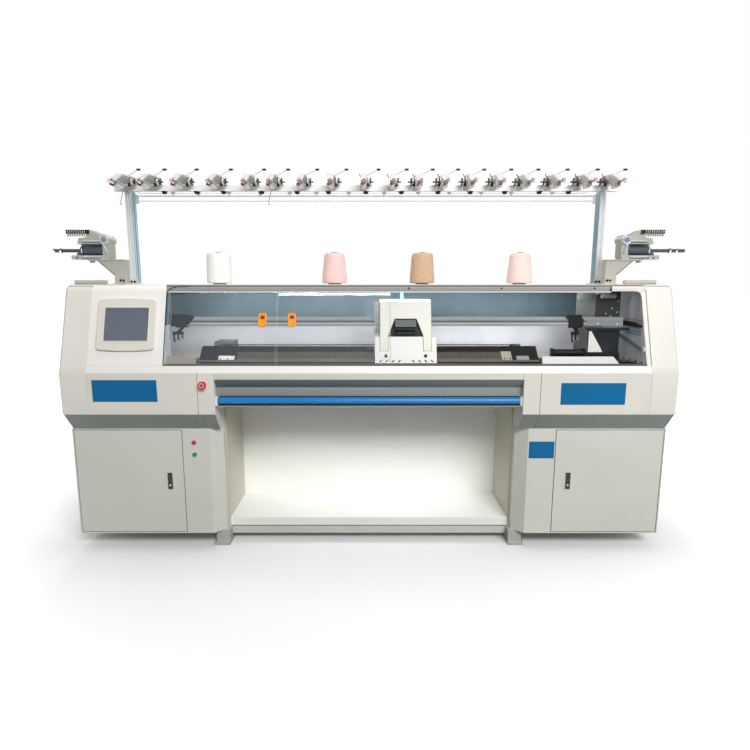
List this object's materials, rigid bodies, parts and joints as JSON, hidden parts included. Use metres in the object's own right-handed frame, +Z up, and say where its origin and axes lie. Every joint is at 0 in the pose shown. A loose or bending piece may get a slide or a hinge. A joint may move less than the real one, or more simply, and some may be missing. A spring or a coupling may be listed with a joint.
{
  "type": "flat knitting machine",
  "caption": "Flat knitting machine with V needle beds, a sliding carriage on a belt drive, clear sliding covers, a control screen, floor cabinets and a yarn stand.",
  "frame": {"origin": "on the floor, under the middle of the machine's whole box", "axes": "+X along the needle beds to the operator's right, +Y from the front to the back, +Z up"},
  "size_m": [2.998, 0.906, 1.841],
  "materials": {
    "casing_white": "satin powder coat, warm off-white",
    "casing_grey": "satin powder coat, light grey",
    "screen_grey": "satin powder coat, slate grey",
    "machine_grey": "painted casting",
    "steel": "ground steel",
    "rails": "clear anodised extrusion",
    "black_parts": "black moulding",
    "cream": "cream moulding",
    "orange": "orange moulding",
    "clear": "clear polycarbonate",
    "screen": "dark display",
    "azure": "bright blue coat",
    "blue_plate": "printed blue plate",
    "red": "red moulding",
    "green": "green moulding",
    "rubber": "friction rubber",
    "yarn": "wound yarn",
    "lock": "dark green-grey moulding"
  },
  "bodies": {
    "machine": {"apron": "casing_grey", "back_panels": "casing_grey", "base_frame": "machine_grey", "bed_beam": "machine_grey", "bed_end_blocks": "black_parts", "button_collars": "rails", "cabinets": "casing_white", "deck": "casing_grey", "display": "screen", "drive_belt": "rubber", "drive_motor": "black_parts", "end_covers": "casing_white", "end_fittings": "black_parts", "fabric_tray": "casing_white", "feeder_rails": "rails", "feet": "machine_grey", "front_ledge": "casing_white", "guide_rails": "steel", "inner_covers": "cream", "knee_walls": "casing_grey", "lower_covers": "casing_white", "name_plates": "blue_plate", "needle_beds": "steel", "needles": "steel", "rail_hangers": "black_parts", "screen_bezel": "cream", "screen_housing": "screen_grey", "side_bodies": "casing_grey", "side_brackets": "casing_grey", "stand_posts": "rails", "stand_rails": "rails", "tension_heads": "casing_grey", "wall_levers": "black_parts", "window_frame": "casing_grey", "window_rails": "casing_grey", "yarn_cones": "yarn"},
    "left_door_body": {"left_door": "casing_white"},
    "right_door_body": {"right_door": "casing_white"},
    "left_handle": {"lock_handle_left": "lock"},
    "right_handle": {"lock_handle_right": "lock"},
    "start_bar_body": {"start_bar": "azure"},
    "stop_button_body": {"stop_button": "red"},
    "start_button_body": {"start_button": "green"},
    "estop_body": {"estop_button": "red"},
    "left_window_cover": {"left_sliding_cover": "clear", "left_cover_pull": "orange"},
    "right_window_cover": {"right_sliding_cover": "clear", "right_cover_pull": "orange"},
    "carriage": {"carriage_arch": "cream", "carriage_cover": "cream", "cam_boxes": "black_parts", "carriage_fittings": "steel"},
    "drive_pulley_body": {"drive_pulley": "rails"},
    "idler_pulley_body": {"idler_pulley": "rails"},
    "feeder_1": {"yarn_feeder_1": "black_parts"},
    "feeder_2": {"yarn_feeder_2": "black_parts"},
    "feeder_3": {"yarn_feeder_3": "black_parts"},
    "left_roller": {"left_side_roller": "rubber"},
    "right_roller": {"right_side_roller": "rubber"},
    "takedown": {"takedown_roller": "rubber"}
  },
  "joints": [
    {"name": "right_door_hinge", "type": "hinge", "parent": "machine", "child": "right_door_body", "pos_m": [1.387, -0.346, 0.345], "axis": [0, 0, 1], "range_deg": [0, 95]},
    {"name": "left_door_hinge", "type": "hinge", "parent": "machine", "child": "left_door_body", "pos_m": [-1.387, -0.346, 0.345], "axis": [0, 0, -1], "range_deg": [0, 95]},
    {"name": "right_lock_handle", "type": "hinge", "parent": "right_door_body", "child": "right_handle", "pos_m": [0.955, -0.353, 0.38], "axis": [-1, 0, 0], "range_deg": [0, 40], "stiffness_Nm_per_rad": 0.05},
    {"name": "left_lock_handle", "type": "hinge", "parent": "left_door_body", "child": "left_handle", "pos_m": [-0.955, -0.353, 0.38], "axis": [-1, 0, 0], "range_deg": [0, 40], "stiffness_Nm_per_rad": 0.05},
    {"name": "start_bar_turn", "type": "hinge", "parent": "machine", "child": "start_bar_body", "pos_m": [0, -0.405, 0.75], "axis": [1, 0, 0], "range_deg": [-15, 15], "stiffness_Nm_per_rad": 2},
    {"name": "stop_button_press", "type": "slide", "parent": "machine", "child": "stop_button_body", "axis": [0, 1, 0], "range_m": [0, 0.004], "stiffness_N_per_m": 500},
    {"name": "start_button_press", "type": "slide", "parent": "machine", "child": "start_button_body", "axis": [0, 1, 0], "range_m": [0, 0.004], "stiffness_N_per_m": 500},
    {"name": "estop_press", "type": "slide", "parent": "machine", "child": "estop_body", "axis": [0, 1, 0], "range_m": [0, 0.005], "stiffness_N_per_m": 1200},
    {"name": "left_cover_slide", "type": "slide", "parent": "machine", "child": "left_window_cover", "axis": [1, 0, 0], "range_m": [0, 1.54]},
    {"name": "right_cover_slide", "type": "slide", "parent": "machine", "child": "right_window_cover", "axis": [1, 0, 0], "range_m": [-0.5, 1.01]},
    {"name": "carriage_slide", "type": "slide", "parent": "machine", "child": "carriage", "axis": [1, 0, 0], "range_m": [-0.818, 0.478]},
    {"name": "drive_pulley_turn", "type": "hinge", "parent": "machine", "child": "drive_pulley_body", "pos_m": [-0.74, -0.121, 0.945], "axis": [0, 1, 0], "range_deg": [-1600, 950]},
    {"name": "idler_pulley_turn", "type": "hinge", "parent": "machine", "child": "idler_pulley_body", "pos_m": [0.74, -0.121, 0.945], "axis": [0, 1, 0], "range_deg": [-1600, 950]},
    {"name": "feeder_1_slide", "type": "slide", "parent": "machine", "child": "feeder_1", "axis": [1, 0, 0], "range_m": [0, 1.6]},
    {"name": "feeder_2_slide", "type": "slide", "parent": "machine", "child": "feeder_2", "axis": [1, 0, 0], "range_m": [-0.1, 1.87]},
    {"name": "feeder_3_slide", "type": "slide", "parent": "machine", "child": "feeder_3", "axis": [1, 0, 0], "range_m": [-1.6, 0.2]},
    {"name": "left_roller_turn", "type": "hinge", "parent": "machine", "child": "left_roller", "pos_m": [-1.309, -0.202, 1.435], "axis": [1, 0, 0], "continuous": true},
    {"name": "right_roller_turn", "type": "hinge", "parent": "machine", "child": "right_roller", "pos_m": [1.275, -0.202, 1.435], "axis": [1, 0, 0], "continuous": true},
    {"name": "takedown_turn", "type": "hinge", "parent": "machine", "child": "takedown", "pos_m": [0, -0.287, 0.8], "axis": [1, 0, 0], "continuous": true}
  ],
  "couplings": [
    {"joint": "drive_pulley_turn", "follows": "carriage_slide", "rad_per_m": 31.447},
    {"joint": "idler_pulley_turn", "follows": "carriage_slide", "rad_per_m": 31.447}
  ]
}
